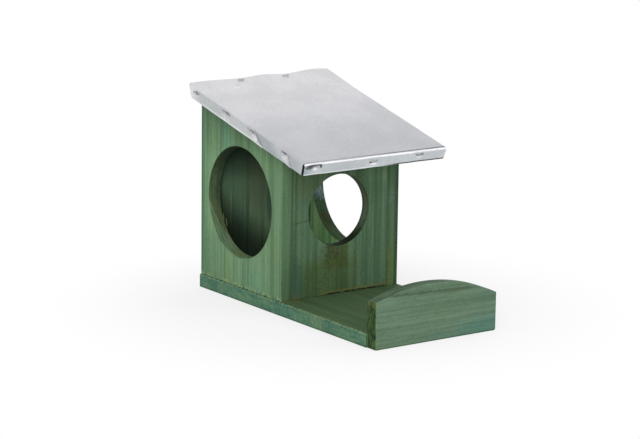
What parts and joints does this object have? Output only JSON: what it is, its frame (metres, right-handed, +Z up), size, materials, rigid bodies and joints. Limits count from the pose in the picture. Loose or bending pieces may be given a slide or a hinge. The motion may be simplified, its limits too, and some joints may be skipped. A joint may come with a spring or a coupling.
{
  "type": "squirrel feeder box",
  "caption": "Wooden squirrel feeder box with round holes in its front and sides, a feeding deck behind an arched lip, and a sloping metal-clad roof.",
  "frame": {"origin": "on the ground, under the middle of the feeder's overall box", "axes": "+Z up; +Y towards the rear panel, so the lip and the front hole face -Y; +X to the right for someone who faces the front"},
  "size_m": [0.1436, 0.25, 0.1778],
  "materials": {
    "base_wood": "softwood in a thin matt green stain, grain along the board, teal on its sawn edges",
    "lip_wood": "softwood in a thin matt grey-green stain, grain across the front",
    "side_wood": "softwood in a thin matt green stain, grain upright",
    "front_wood": "softwood in a thin matt dark green stain with olive-brown patches, grain upright",
    "rear_wood": "softwood in a thin matt green stain, assumed to be like the side panels",
    "roof_wood": "softwood in a thin matt green stain, hidden and assumed to be like the side panels",
    "galvanised_sheet": "thin galvanised sheet, satin, folded by hand",
    "staple_wire": "galvanised flat wire, colour assumed",
    "brad_wire": "bright steel wire, hidden and assumed"
  },
  "bodies": {
    "root": {"base_board": "base_wood", "lip_board": "lip_wood", "left_side_panel": "side_wood", "right_side_panel": "side_wood", "front_panel": "front_wood", "rear_panel": "rear_wood", "roof_board": "roof_wood", "roof_sheet": "galvanised_sheet", "left_staple_1": "staple_wire", "left_staple_2": "staple_wire", "left_staple_3": "staple_wire", "left_staple_4": "staple_wire", "right_staple_1": "staple_wire", "right_staple_2": "staple_wire", "right_staple_3": "staple_wire", "right_staple_4": "staple_wire", "front_staple_1": "staple_wire", "front_staple_2": "staple_wire", "front_staple_3": "staple_wire", "rear_staple_1": "staple_wire", "rear_staple_2": "staple_wire", "left_side_rear_brad": "brad_wire", "left_side_front_brad": "brad_wire", "front_panel_left_brad": "brad_wire", "rear_panel_left_brad": "brad_wire", "right_side_rear_brad": "brad_wire", "right_side_front_brad": "brad_wire", "front_panel_right_brad": "brad_wire", "rear_panel_right_brad": "brad_wire", "roof_left_rear_brad": "brad_wire", "roof_left_front_brad": "brad_wire", "roof_right_rear_brad": "brad_wire", "roof_right_front_brad": "brad_wire"}
  },
  "joints": []
}
